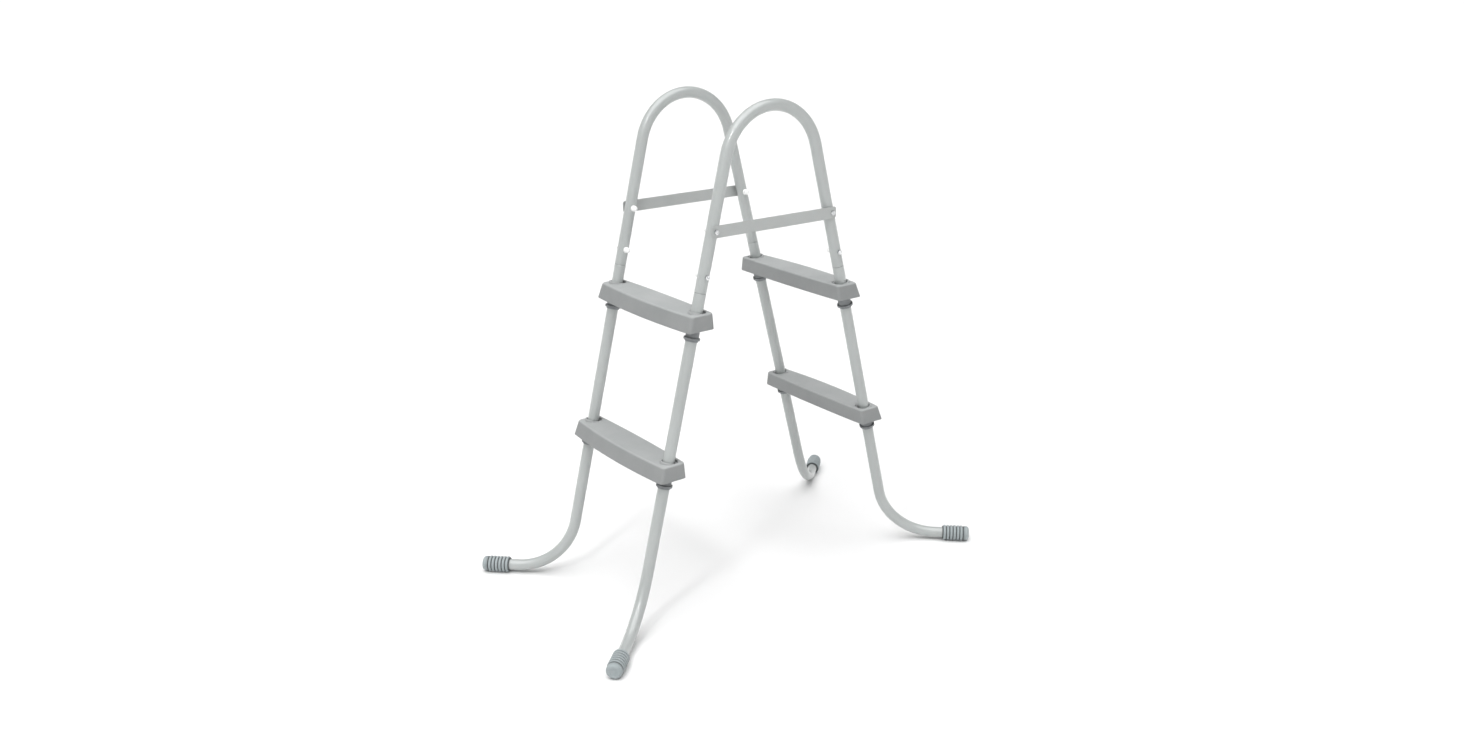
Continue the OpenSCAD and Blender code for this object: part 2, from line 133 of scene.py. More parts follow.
TREAD_HEIGHTS = {"upper": 686 * MM, "lower": 371 * MM}
TREAD_HALF_LENGTH = 180 * MM
TREAD_DEPTH = 34 * MM
TREAD_OUTER_REACH = 27.3 * MM
TREAD_INNER_REACH = 27.2 * MM
TREAD_OUTER_FLARE = 11 * MM
TREAD_END_FLARE = 5 * MM
TREAD_OUTER_BOW = 10 * MM
TREAD_INNER_BOW = 4 * MM
TREAD_BOW_STEPS = 24
TREAD_CORNER = 9 * MM
TREAD_CORNER_STEPS = 10
TREAD_EDGE = 4 * MM
TREAD_EDGE_STEPS = 6
TREAD_FOOT_EDGE = 0.5 * MM
# Depths below the top at which the painted shade on the tread sides starts and is full.
TREAD_SHADE_START = 0.6 * MM
TREAD_SHADE_FULL = 3.6 * MM
TREAD_WALL = 2.8 * MM
TREAD_RIB_THICKNESS = 2 * MM
TREAD_RIB_DEPTH = 14 * MM
TREAD_RIB_PITCH = 44 * MM
TREAD_RIBS = 7
TREAD_RIB_LAP = 0.3 * MM
RING_RADIUS = 18.7 * MM
RING_RISE = 1 * MM
RING_THICKNESS = 5 * MM
RING_FILLET = 0.8 * MM
TRENCH_DEPTH = 0.7 * MM
TRENCH_FLOOR = 0.4 * MM
TRENCH_MOUTH = 1.6 * MM
SOCKET_RADIUS = 17.4 * MM
SOCKET_DEPTH = 31 * MM
SOCKET_BORE = 14.5 * MM
SOCKET_MOUTH = 15.8 * MM
SOCKET_SEGMENTS = 96
TOOL_OVERRUN = 9 * MM

BOLT_RADIUS = 3 * MM
HEX_RADIUS = 5 * MM / math.cos(math.radians(30))
HEX_CONE_EDGE = 0.3 * MM
HEAD_HEIGHT = 4 * MM
HEAD_CHAMFER = 0.9 * MM
SHANK_CHAMFER = 0.5 * MM
NUT_HEIGHT = 5 * MM
BOLT_TAIL = 1.5 * MM
CAP_RADIUS = 6.4 * MM
CAP_RIM_RADIUS = 7 * MM
CAP_RIM_THICKNESS = 1.2 * MM
CAP_EDGE = 0.4 * MM
CAP_LENGTH = 12 * MM
CAP_CLEARANCE = 0.15 * MM
CAP_END_GAP = 0.8 * MM
CAP_CAVITY_RADIUS = HEX_RADIUS + CAP_CLEARANCE
CAP_CAVITY_DEPTH = NUT_HEIGHT + BOLT_TAIL + CAP_END_GAP
FASTENER_SEGMENTS = 48


def leg_x(height):
    """Distance of the leg axis from the middle of the ladder."""
    return STRAP_HALF_SPAN + (STRAP_HEIGHT - height) * math.tan(LEAN)


HANDRAIL_CENTRE = STRAP_HEIGHT + (STRAP_HALF_SPAN - HANDRAIL_BEND / math.cos(LEAN)) / math.tan(LEAN)
HANDRAIL_ARM = (HANDRAIL_CENTRE + HANDRAIL_BEND * math.sin(LEAN) - SEAM_HEIGHT) / math.cos(LEAN)
FOOT_ANGLE = math.acos(math.sin(LEAN) * math.cos(FOOT_TURN))
FOOT_TWIST = math.atan2(math.sin(FOOT_TURN), math.cos(FOOT_TURN) * math.cos(LEAN))
FOOT_HEIGHT = BOOT_RIB_RADIUS + FOOT_BEND * math.tan(FOOT_ANGLE / 2) * math.cos(LEAN)
LEG_LENGTH = (SEAM_HEIGHT - FOOT_HEIGHT) / math.cos(LEAN)


# ---------------------------------------------------------------- placing
def at_leg(face, side, height):
    """Local frame on a leg axis: Z up along the leg, Y outwards, X away from the pool wall."""
    mirror = Matrix.Diagonal((face, side, 1, 1))
    place = Matrix.Translation((leg_x(height), HALF_SPACING, height))
    return mirror @ place @ Matrix.Rotation(-LEAN, 4, "Y")


def at_bolt(face, side, height):
    """Local frame on a bolt axis: Z outwards along Y."""
    mirror = Matrix.Diagonal((face, side, 1, 1))
    place = Matrix.Translation((leg_x(height), HALF_SPACING, height))
    return mirror @ place @ Matrix.Rotation(-math.pi / 2, 4, "X")


def foot_end():
    """Local frame at the end of the foot bend, seen from the leg's frame: Z along the level foot."""
    centre = Matrix.Translation((FOOT_BEND, 0, 0))
    turn = Matrix.Rotation(-FOOT_ANGLE, 4, "Y") @ Matrix.Translation((-FOOT_BEND, 0, 0))
    return Matrix.Rotation(FOOT_TWIST, 4, "Z") @ centre @ turn @ Matrix.Rotation(math.pi, 4, "X")


# ---------------------------------------------------------------- mesh helpers
def loft(mesh, rings, closed=False):
    """Joins rings of points with quads. A closed loft joins last to first, an open one is capped."""
    made = [[mesh.verts.new(point) for point in ring] for ring in rings]
    count = len(made[0])
    pairs = list(zip(made, made[1:]))
    if closed:
        pairs.append((made[-1], made[0]))
    for a, b in pairs:
        for i in range(count):
            j = (i + 1) % count
            mesh.faces.new((a[i], a[j], b[j], b[i]))
    if not closed:
        mesh.faces.new(made[0])
        mesh.faces.new(list(reversed(made[-1])))


def circle(radius, height, segments=ROUND_SEGMENTS):
    """Ring of points round Z."""
    turns = [2 * math.pi * i / segments for i in range(segments)]
    return [Vector((radius * math.cos(t), radius * math.sin(t), height)) for t in turns]


def arc(centre, radius, start, end, steps):
    """Points of an arc in a profile, as (distance from axis, height)."""
    turns = [math.radians(start + (end - start) * i / steps) for i in range(steps + 1)]
    return [(centre[0] + radius * math.cos(t), centre[1] + radius * math.sin(t)) for t in turns]


def solid_of_turn(profile, segments=ROUND_SEGMENTS):
    """Closed mesh turned round Z from (distance from axis, height) pairs, with tiny rings for poles."""
    mesh = bmesh.new()
    loft(mesh, [circle(max(r, POLE_RADIUS), z, segments) for r, z in profile])
    bmesh.ops.recalc_face_normals(mesh, faces=mesh.faces)
    return mesh


def to_object(name, mesh, smooth_angle=SMOOTH_ANGLE):
    """Turns a bmesh into a scene object shaded smooth up to an angle."""
    bmesh.ops.recalc_face_normals(mesh, faces=mesh.faces)
    data = bpy.data.meshes.new(name)
    mesh.to_mesh(data)
    mesh.free()
    data.shade_smooth()
    data.set_sharp_from_angle(angle=math.radians(smooth_angle))
    made = bpy.data.objects.new(name, data)
    bpy.context.scene.collection.objects.link(made)
    return made


def mark_hollows(piece, measure, near, far):
    """Stores a painted-shade mark on each point: 0 where its measure is far or more, 1 where it is near or
    less.
    """
    data = piece.data
    marks = data.attributes.new("hollow", "FLOAT", "POINT")
    for vert, mark in zip(data.vertices, marks.data):
        mark.value = min(1, max(0, (far - measure(vert.co)) / (far - near)))


def boolean(target, tool, operation):
    """Applies one exact boolean to target and removes the tool."""
    modifier = target.modifiers.new("cut", "BOOLEAN")
    modifier.operation = operation
    modifier.solver = "EXACT"
    modifier.object = tool
    bpy.context.view_layer.update()
    graph = bpy.context.evaluated_depsgraph_get()
    result = bpy.data.meshes.new_from_object(target.evaluated_get(graph))
    target.modifiers.clear()
    target.data = result
    bpy.data.objects.remove(tool)
    mesh = bmesh.new()
    mesh.from_mesh(result)
    bmesh.ops.remove_doubles(mesh, verts=mesh.verts, dist=WELD)
    bmesh.ops.dissolve_degenerate(mesh, edges=mesh.edges, dist=WELD)
    mesh.to_mesh(result)
    mesh.free()


def copies(name, source, places, smooth_angle=SMOOTH_ANGLE):
    """One object that holds a copy of the source mesh at each place."""
    mesh = bmesh.new()
    for place in places:
        part = source.copy()
        bmesh.ops.transform(part, matrix=place, verts=part.verts)
        if place.determinant() < 0:
            bmesh.ops.reverse_faces(part, faces=part.faces)
        data = bpy.data.meshes.new("part")
        part.to_mesh(data)
        part.free()
        mesh.from_mesh(data)
        bpy.data.meshes.remove(data)
    return to_object(name, mesh, smooth_angle)


def keep_faces_flat(piece):
    """Lets the broad faces set the normals, so that soft edges don't shade across them."""
    weigh = piece.modifiers.new("face_weights", "WEIGHTED_NORMAL")
    weigh.weight = 100
    weigh.keep_sharp = True


def finish_piece(piece, slot, material, *replaced):
    """Gives a piece its material and its body, and hides the CAD nodes that it stands for."""
    piece.data.materials.clear()
    piece.data.materials.append(material)
    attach(piece, "root")
    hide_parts(*replaced)


# ---------------------------------------------------------------- tubes
def tube(path):
    """Hollow tube along a path in the XZ plane, from (point, direction, outer, inner) stations."""
    def ring(point, direction, radius):
        across = direction.cross(Vector((0, 1, 0)))
        turns = [2 * math.pi * i / TUBE_SEGMENTS for i in range(TUBE_SEGMENTS)]
        return [point + across * (radius * math.cos(t)) + Vector((0, radius * math.sin(t), 0)) for t in turns]

    outside = [ring(p, d, outer) for p, d, outer, _ in path]
    inside = [ring(p, d, inner) for p, d, _, inner in reversed(path)]
    mesh = bmesh.new()
    loft(mesh, outside + inside, closed=True)
    return mesh


def straight(start, direction, length, steps):
    """Stations along a straight stretch."""
    return [(start + direction * (length * i / steps), direction, TUBE_RADIUS, TUBE_INNER)
            for i in range(steps + 1)]


def bow_path():
    """Stations of a handrail, from its front end to its rear end."""
    path = []
    edge = TUBE_END_EDGE
    for face in (FRONT, REAR):
        down = Vector((face * math.sin(LEAN), 0, -math.cos(LEAN)))
        top = Vector((face * HANDRAIL_BEND * math.cos(LEAN), 0,
                      HANDRAIL_CENTRE + HANDRAIL_BEND * math.sin(LEAN)))
        end = top + down * HANDRAIL_ARM
        lip = [(end, -down, TUBE_RADIUS - edge, TUBE_INNER),
               (end - down * edge / 2, -down, TUBE_RADIUS - edge / 4, TUBE_INNER)]
        arm = lip + straight(end - down * edge, -down, HANDRAIL_ARM - edge, HANDRAIL_ARM_STEPS)[:-1]
        if face == FRONT:
            path += arm
            for i in range(HANDRAIL_BEND_STEPS + 1):
                turn = math.pi - LEAN - (math.pi - 2 * LEAN) * i / HANDRAIL_BEND_STEPS
                spot = Vector((HANDRAIL_BEND * math.cos(turn), 0,
                               HANDRAIL_CENTRE + HANDRAIL_BEND * math.sin(turn)))
                path.append((spot, Vector((math.sin(turn), 0, -math.cos(turn))), TUBE_RADIUS, TUBE_INNER))
        else:
            path += [(p, -d, o, i) for p, d, o, i in reversed(arm)]
    return path


def leg_path():
    """Stations of a leg in its own frame, from the top of the reduced end to the end of the foot."""
    down = Vector((0, 0, -1))
    narrow = SPIGOT_RADIUS - TUBE_WALL
    path = [(Vector((0, 0, LEG_LENGTH + SPIGOT_LENGTH)), down, SPIGOT_RADIUS, narrow),
            (Vector((0, 0, LEG_LENGTH + SPIGOT_LENGTH / 2)), down, SPIGOT_RADIUS, narrow),
            (Vector((0, 0, LEG_LENGTH)), down, SPIGOT_RADIUS, narrow)]
    for i in range(SHOULDER_STEPS + 1):
        drop = math.sin(math.radians(90 * i / SHOULDER_STEPS))
        radius = TUBE_RADIUS - SHOULDER_DEPTH * (1 - drop)
        path.append((Vector((0, 0, LEG_LENGTH - SHOULDER_LENGTH * i / SHOULDER_STEPS)), down, radius, narrow))
    top = Vector((0, 0, LEG_LENGTH - SHOULDER_LENGTH * 2))
    path += straight(top, down, top.z, LEG_STEPS)[:-1]
    for i in range(FOOT_BEND_STEPS + 1):
        turn = FOOT_ANGLE * i / FOOT_BEND_STEPS
        spot = Vector((FOOT_BEND * (1 - math.cos(turn)), 0, -FOOT_BEND * math.sin(turn)))
        path.append((spot, Vector((math.sin(turn), 0, -math.cos(turn))), TUBE_RADIUS, TUBE_INNER))
    end, direction = path[-1][0], path[-1][1]
    return path + straight(end, direction, FOOT_LENGTH - BOOT_END_WALL, FOOT_STEPS)[1:]


def seam_measure(point):
    """Distance of a leg's point from the axis near the seam. The rest of the leg counts as proud."""
    if point.z < LEG_LENGTH - 2 * SHOULDER_LENGTH:
        return TUBE_RADIUS
    return math.hypot(point.x, point.y)


# ---------------------------------------------------------------- boots
def boot_mesh():
    """Ribbed boot in the foot's frame, pushed over the end of the tube."""
    def outer_radius(z):
        first = (BOOT_LENGTH - BOOT_NOSE_LENGTH - (BOOT_RIBS - 1) * BOOT_RIB_PITCH) / 2
        away = min(abs(z - first - i * BOOT_RIB_PITCH) for i in range(BOOT_RIBS)) / BOOT_RIB_HALF
        rise = BOOT_RIB_RADIUS - BOOT_SLEEVE_RADIUS
        return BOOT_SLEEVE_RADIUS + rise * math.sqrt(max(0, 1 - away ** BOOT_RIB_POWER))

    nose = BOOT_LENGTH - BOOT_NOSE_LENGTH
    edge = BOOT_EDGE
    profile = [(0, BOOT_LENGTH - BOOT_END_WALL), (TUBE_RADIUS, BOOT_LENGTH - BOOT_END_WALL),
               (TUBE_RADIUS, BOOT_MOUTH_EDGE), (TUBE_RADIUS + BOOT_MOUTH_EDGE, 0),
               (BOOT_SLEEVE_RADIUS - edge, 0)]
    profile += arc((BOOT_SLEEVE_RADIUS - edge, edge), edge, -90, 0, 4)[1:]
    z = 2 * edge
    while z < nose:
        profile.append((outer_radius(z), z))
        z += BOOT_PROFILE_STEP
    profile += [(BOOT_SLEEVE_RADIUS, nose), (BOOT_NOSE_RADIUS - edge / 2, nose)]
    profile += arc((BOOT_NOSE_RADIUS - edge, nose + edge), edge, -60, 0, 3)
    profile += arc((BOOT_NOSE_RADIUS - BOOT_NOSE_ROUND, BOOT_LENGTH - BOOT_NOSE_ROUND),
                   BOOT_NOSE_ROUND, 0, 90, 10)
    profile += arc((BOOT_DISH_RADIUS, BOOT_LENGTH - BOOT_DISH_DEPTH), BOOT_DISH_DEPTH, 90, 180, 4)
    profile += [(0, BOOT_LENGTH - BOOT_DISH_DEPTH)]
    return solid_of_turn([(r, z + FOOT_LENGTH - BOOT_LENGTH) for r, z in profile])


def groove_measure(point):
    """Distance of a boot's point from the axis. The nose counts as proud everywhere."""
    if point.z > FOOT_LENGTH - BOOT_NOSE_LENGTH + MM:
        return BOOT_RIB_RADIUS
    return math.hypot(point.x, point.y)


# ---------------------------------------------------------------- straps
def strap_object(name, side):
    """Flat strap with softened edges and two bolt holes."""
    low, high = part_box(name)
    half = Vector(((high.x - low.x) / 2, 0, (high.z - low.z) / 2))
    middle = (low + high) / 2
    edge = STRAP_EDGE

    def outline(inset, y):
        """Rounded rectangle in the plane at y, drawn in by an inset."""
        points = []
        reach = Vector((half.x - STRAP_CORNER, 0, half.z - STRAP_CORNER))
        radius = STRAP_CORNER - inset
        for i, (sx, sz) in enumerate(((1, 1), (-1, 1), (-1, -1), (1, -1))):
            for j in range(STRAP_CORNER_STEPS + 1):
                turn = math.radians(90 * i + 90 * j / STRAP_CORNER_STEPS)
                points.append(Vector((middle.x + sx * reach.x + radius * math.cos(turn), y,
                                      middle.z + sz * reach.z + radius * math.sin(turn))))
        return points

    mesh = bmesh.new()
    loft(mesh, [outline(edge, low.y), outline(edge * 0.3, low.y + edge * 0.3), outline(0, low.y + edge),
                outline(0, high.y - edge), outline(edge * 0.3, high.y - edge * 0.3), outline(edge, high.y)])
    made = to_object(f"{name}_visual", mesh)
    bore = [(STRAP_HOLE_RADIUS, -STRAP_DRILL_REACH), (STRAP_HOLE_RADIUS, STRAP_DRILL_REACH)]
    for face in (FRONT, REAR):
        drill = solid_of_turn(bore, STRAP_HOLE_SEGMENTS)
        place = at_bolt(face, side, STRAP_HEIGHT)
        bmesh.ops.transform(drill, matrix=place, verts=drill.verts)
        boolean(made, to_object("drill", drill), "DIFFERENCE")
    return made


# ---------------------------------------------------------------- treads
def tread_outline(depth, inset):
    """Outline of a tread at a depth below its surface, drawn in by an inset."""
    flare = depth / TREAD_DEPTH
    end = TREAD_HALF_LENGTH + TREAD_END_FLARE * flare - inset
    corner = TREAD_CORNER - inset

    def long_side(reach, bow):
        straight_end = end - corner
        centre = reach + bow * (1 - (straight_end / end) ** 2) - corner
        points = []
        for i in range(TREAD_CORNER_STEPS + 1):
            turn = math.radians(90 * i / TREAD_CORNER_STEPS - 90)
            points.append((centre + corner * math.cos(turn), -straight_end + corner * math.sin(turn)))
        for i in range(1, TREAD_BOW_STEPS):
            y = straight_end * (2 * i / TREAD_BOW_STEPS - 1)
            points.append((reach + bow * (1 - (y / end) ** 2), y))
        for i in range(TREAD_CORNER_STEPS + 1):
            turn = math.radians(90 * i / TREAD_CORNER_STEPS)
            points.append((centre + corner * math.cos(turn), straight_end + corner * math.sin(turn)))
        return points

    outer = long_side(TREAD_OUTER_REACH + TREAD_OUTER_FLARE * flare - inset, TREAD_OUTER_BOW)
    inner = long_side(TREAD_INNER_REACH - inset, TREAD_INNER_BOW)
    return [Vector((x, y, -depth)) for x, y in outer] + [Vector((-x, -y, -depth)) for x, y in inner]


def box_mesh(low, high):
    """Closed box between two corners."""
    mesh = bmesh.new()
    bmesh.ops.create_cube(mesh, size=1)
    size, middle = high - low, (high + low) / 2
    place = Matrix.Translation(middle) @ Matrix.Diagonal((*size, 1))
    bmesh.ops.transform(mesh, matrix=place, verts=mesh.verts)
    return mesh


def tread_object():
    """Master tread in its own frame: origin on its surface between the two tubes."""
    turns = [math.radians(90 * i / TREAD_EDGE_STEPS) for i in range(TREAD_EDGE_STEPS, -1, -1)]
    top = [tread_outline(TREAD_EDGE * (1 - math.sin(t)), TREAD_EDGE * (1 - math.cos(t))) for t in turns]
    foot = TREAD_FOOT_EDGE
    under = TREAD_WALL + TREAD_EDGE / 2
    skirt = [tread_outline(TREAD_DEPTH - foot, 0), tread_outline(TREAD_DEPTH, foot),
             tread_outline(TREAD_DEPTH, TREAD_WALL - foot), tread_outline(TREAD_DEPTH - foot, TREAD_WALL),
             tread_outline(under, TREAD_WALL), tread_outline(TREAD_WALL, under)]
    mesh = bmesh.new()
    loft(mesh, top + skirt)
    tread = to_object("tread", mesh)

    ceiling = -TREAD_WALL + TREAD_RIB_LAP
    half = TREAD_RIB_THICKNESS / 2
    for i in range(TREAD_RIBS):
        y = (i - (TREAD_RIBS - 1) / 2) * TREAD_RIB_PITCH
        reach = TREAD_OUTER_BOW * (1 - (y / TREAD_HALF_LENGTH) ** 2)
        wide = box_mesh(Vector((-TREAD_INNER_REACH + TREAD_WALL / 2, y - half, -TREAD_RIB_DEPTH)),
                        Vector((TREAD_OUTER_REACH + reach + TREAD_OUTER_FLARE, y + half, ceiling)))
        for vert in wide.verts:
            if vert.co.x > 0:
                slope = TREAD_OUTER_FLARE * (-vert.co.z / TREAD_DEPTH)
                vert.co.x = TREAD_OUTER_REACH + reach + slope - TREAD_WALL / 2
        boolean(tread, to_object("rib", wide), "UNION")
    long_rib = box_mesh(Vector((-half, -TREAD_HALF_LENGTH + TREAD_WALL / 2, -TREAD_RIB_DEPTH)),
                        Vector((half, TREAD_HALF_LENGTH - TREAD_WALL / 2, ceiling)))
    boolean(tread, to_object("rib", long_rib), "UNION")

    base = RING_RISE - RING_THICKNESS
    trench = RING_RISE - TRENCH_DEPTH
    above = RING_RISE + TOOL_OVERRUN
    below = -TREAD_DEPTH - TOOL_OVERRUN
    socket = [(0, -SOCKET_DEPTH), (SOCKET_RADIUS, -SOCKET_DEPTH), (SOCKET_RADIUS, base), (RING_RADIUS, base)]
    socket += arc((RING_RADIUS - RING_FILLET, RING_RISE - RING_FILLET), RING_FILLET, 0, 90, 5)
    socket += [(0, RING_RISE)]
    clear = [(0, trench), (RING_RADIUS + TRENCH_FLOOR, trench), (RING_RADIUS + TRENCH_MOUTH, above),
             (0, above)]
    bore = [(0, below), (SOCKET_BORE, below), (SOCKET_BORE, RING_RISE - SOCKET_MOUTH + SOCKET_BORE),
            (SOCKET_MOUTH, RING_RISE), (SOCKET_MOUTH, above), (0, above)]
    for side in (RIGHT, LEFT):
        place = Matrix.Translation((0, side * HALF_SPACING, 0)) @ Matrix.Rotation(-LEAN, 4, "Y")
        for profile, operation in ((clear, "DIFFERENCE"), (socket, "UNION"), (bore, "DIFFERENCE")):
            mesh = solid_of_turn(profile, SOCKET_SEGMENTS)
            bmesh.ops.transform(mesh, matrix=place, verts=mesh.verts)
            boolean(tread, to_object("tool", mesh), operation)
    return tread


# ---------------------------------------------------------------- fasteners
def hexagon(low, high, chamfer):
    """Hexagonal prism along Z whose top corners are chamfered by a cone."""
    mesh = bmesh.new()
    loft(mesh, [circle(HEX_RADIUS, low, 6), circle(HEX_RADIUS, high, 6)])
    made = to_object("hexagon", mesh)
    rim = HEX_RADIUS - chamfer
    cone = [(0, low - MM), (HEX_RADIUS + MM, low - MM), (HEX_RADIUS + MM, high - MM / 2),
            (HEX_RADIUS + HEX_CONE_EDGE, high - MM / 2), (rim, high), (0, high)]
    boolean(made, to_object("cone", solid_of_turn(cone, FASTENER_SEGMENTS)), "INTERSECT")
    return made


def bolt_mesh(seat):
    """Bolt along Z whose head rests at a seat height."""
    head = hexagon(seat, seat + HEAD_HEIGHT, HEAD_CHAMFER)
    end = -TUBE_RADIUS - NUT_HEIGHT - BOLT_TAIL
    shank = [(0, end), (BOLT_RADIUS - SHANK_CHAMFER, end), (BOLT_RADIUS, end + SHANK_CHAMFER),
             (BOLT_RADIUS, seat + MM), (0, seat + MM)]
    boolean(head, to_object("shank", solid_of_turn(shank, FASTENER_SEGMENTS)), "UNION")
    mesh = bmesh.new()
    mesh.from_mesh(head.data)
    bpy.data.objects.remove(head)
    return mesh


def cap_mesh():
    """Domed cap over a nut, with a rim against the tube."""
    edge = CAP_EDGE
    profile = [(0, -CAP_CAVITY_DEPTH), (CAP_CAVITY_RADIUS, -CAP_CAVITY_DEPTH), (CAP_CAVITY_RADIUS, 0)]
    profile += arc((CAP_RIM_RADIUS - edge, -edge), edge, 90, 0, 4)
    profile += arc((CAP_RIM_RADIUS - edge, -CAP_RIM_THICKNESS + edge), edge, 0, -90, 4)
    profile += [(CAP_RADIUS + edge, -CAP_RIM_THICKNESS), (CAP_RADIUS, -CAP_RIM_THICKNESS - edge)]
    profile += arc((0, CAP_RADIUS - CAP_LENGTH), CAP_RADIUS, 0, -90, 16)
    return solid_of_turn([(r, z - TUBE_RADIUS) for r, z in profile], FASTENER_SEGMENTS)


# ---------------------------------------------------------------- materials
# Colour sockets of a Mix node. Its other types' sockets have the same names, so they go by number.
MIX_FACTOR, MIX_A, MIX_B, MIX_RESULT = 0, 6, 7, 2

# How bright the painted shade is, as a share of the colour around it: at the leg seams, in the boot grooves
# and on the tread sides.
SEAM_SHADE = 0.25
GROOVE_SHADE = 0.2
TREAD_SHADE = 0.68


class Paint:
    """A material under construction, with short names for the nodes it uses."""

    def __init__(self, name):
        self.material = bpy.data.materials.new(name)
        self.material.use_nodes = True
        self.tree = self.material.node_tree
        self.shader = self.tree.nodes["Principled BSDF"]
        self.place = self.tree.nodes.new("ShaderNodeTexCoord").outputs["Object"]

    def noise(self, scale, detail=3, roughness=0.5):
        """Fractal noise in object space, in metres."""
        node = self.tree.nodes.new("ShaderNodeTexNoise")
        node.inputs["Scale"].default_value = scale
        node.inputs["Detail"].default_value = detail
        node.inputs["Roughness"].default_value = roughness
        self.tree.links.new(self.place, node.inputs["Vector"])
        return node.outputs["Fac"]

    def hollow(self):
        """The painted-shade mark that mark_hollows stored on the mesh."""
        node = self.tree.nodes.new("ShaderNodeAttribute")
        node.attribute_name = "hollow"
        return node.outputs["Fac"]

    def darken(self, ramp, fac, amount):
        """Paints shade: multiplies a colour by a darker tone where fac is high."""
        node = self.tree.nodes.new("ShaderNodeMix")
        node.data_type = "RGBA"
        node.blend_type = "MULTIPLY"
        node.inputs[MIX_B].default_value = (amount, amount, amount, 1)
        self.tree.links.new(fac, node.inputs[MIX_FACTOR])
        self.tree.links.new(ramp.outputs["Color"], node.inputs[MIX_A])
        self.tree.links.new(node.outputs[MIX_RESULT], self.shader.inputs["Base Color"])

    def cells(self, scale):
        """Distance to the nearest of many scattered points, for grain and spangle."""
        node = self.tree.nodes.new("ShaderNodeTexVoronoi")
        node.inputs["Scale"].default_value = scale
        self.tree.links.new(self.place, node.inputs["Vector"])
        return node.outputs["Distance"]

    def colour(self, fac, dark, light, low=0.3, high=0.7):
        """Varies the base colour between two tones."""
        node = self.tree.nodes.new("ShaderNodeValToRGB")
        node.color_ramp.elements[0].position = low
        node.color_ramp.elements[1].position = high
        node.color_ramp.elements[0].color = (*dark, 1)
        node.color_ramp.elements[1].color = (*light, 1)
        self.tree.links.new(fac, node.inputs["Fac"])
        self.tree.links.new(node.outputs["Color"], self.shader.inputs["Base Color"])
        return node

    def roughness(self, fac, low, high):
        """Varies the roughness between two values."""
        node = self.tree.nodes.new("ShaderNodeMapRange")
        node.inputs["To Min"].default_value = low
        node.inputs["To Max"].default_value = high
        self.tree.links.new(fac, node.inputs["Value"])
        self.tree.links.new(node.outputs["Result"], self.shader.inputs["Roughness"])

    def bump(self, heights):
        """Stacks bumps from (texture, strength, distance)."""
        normal = None
        for texture, strength, distance in heights:
            node = self.tree.nodes.new("ShaderNodeBump")
            node.inputs["Strength"].default_value = strength
            node.inputs["Distance"].default_value = distance
            self.tree.links.new(texture, node.inputs["Height"])
            if normal:
                self.tree.links.new(normal, node.inputs["Normal"])
            normal = node.outputs["Normal"]
        self.tree.links.new(normal, self.shader.inputs["Normal"])

    def set(self, **values):
        """Sets numbers that are the same all over, on the shader's own sockets."""
        for name, value in values.items():
            self.shader.inputs[name.replace("_", " ")].default_value = value


def linear(red, green, blue):
    """Screen colour, 0 to 255, as linear light."""
    def one(value):
        value /= 255
        return value / 12.92 if value <= 0.04045 else ((value + 0.055) / 1.055) ** 2.4
    return one(red), one(green), one(blue)


def powder_coat(name, dark, light):
    """Semi-gloss powder coat with a fine orange-peel skin, and painted shade where the mesh is marked: the
    groove at the leg seam.
    """
    paint = Paint(name)
    paint.darken(paint.colour(paint.noise(9, 4), dark, light), paint.hollow(), SEAM_SHADE)
    paint.roughness(paint.noise(60, 3), 0.30, 0.42)
    paint.bump([(paint.noise(520, 2), 0.05, 0.00015), (paint.noise(2600, 2), 0.04, 0.00005)])
    paint.set(IOR=1.5, Coat_Weight=0.7, Coat_Roughness=0.07)
    return paint.material


def moulded_plastic(name, dark, light, rough=(0.5, 0.62), grain=0.22, shade=None):
    """Moulded plastic with a spark-eroded grain and faint flow marks; given a shade, it paints shade that
    darkens the colour by that share where the mesh is marked.
    """
    paint = Paint(name)
    ramp = paint.colour(paint.noise(14, 5, 0.6), dark, light)
    if shade:
        paint.darken(ramp, paint.hollow(), shade)
    paint.roughness(paint.noise(240, 3), *rough)
    paint.bump([(paint.noise(30, 2), 0.04, 0.001), (paint.cells(900), grain, 0.00025),
                (paint.noise(1900, 3), grain * 0.6, 0.0001)])
    paint.set(IOR=1.47)
    return paint.material


def rubber(name, dark, light):
    """Soft vinyl rubber with a dull bloom, and painted shade where the mesh is marked: the grooves between
    the ribs.
    """
    paint = Paint(name)
    ramp = paint.colour(paint.noise(45, 5, 0.6), dark, light)
    paint.darken(ramp, paint.hollow(), GROOVE_SHADE)
    paint.roughness(paint.noise(180, 3), 0.55, 0.72)
    paint.bump([(paint.noise(420, 3), 0.12, 0.0002), (paint.noise(1800, 2), 0.1, 0.00008)])
    paint.set(IOR=1.5, Sheen_Weight=0.12, Sheen_Roughness=0.5)
    return paint.material


def zinc(name):
    """Bright zinc plate with a fine mottled spangle."""
    paint = Paint(name)
    paint.colour(paint.cells(420), (0.3, 0.31, 0.32), (0.85, 0.86, 0.87), 0.1, 0.7)
    paint.roughness(paint.noise(900, 3), 0.14, 0.3)
    paint.bump([(paint.noise(2200, 2), 0.08, 0.00006)])
    paint.set(Metallic=1.0)
    return paint.material


TUBE_PAINT = powder_coat("tube_coating", linear(165, 169, 168), linear(172, 176, 175))
STRAP_PAINT = powder_coat("strap_coating", linear(163, 166, 165), linear(169, 172, 171))
TREAD_PAINT = moulded_plastic("tread_plastic", linear(159, 162, 162), linear(168, 170, 170),
                              shade=TREAD_SHADE)
COLLAR_PAINT = moulded_plastic("collar_plastic", linear(126, 129, 131), linear(136, 139, 141))
BOOT_PAINT = rubber("boot_rubber", linear(146, 155, 157), linear(156, 163, 165))
ZINC_PAINT = zinc("zinc_plate")
CAP_PAINT = moulded_plastic("cap_plastic", linear(236, 237, 236), linear(244, 244, 243),
                            rough=(0.28, 0.36), grain=0.05)


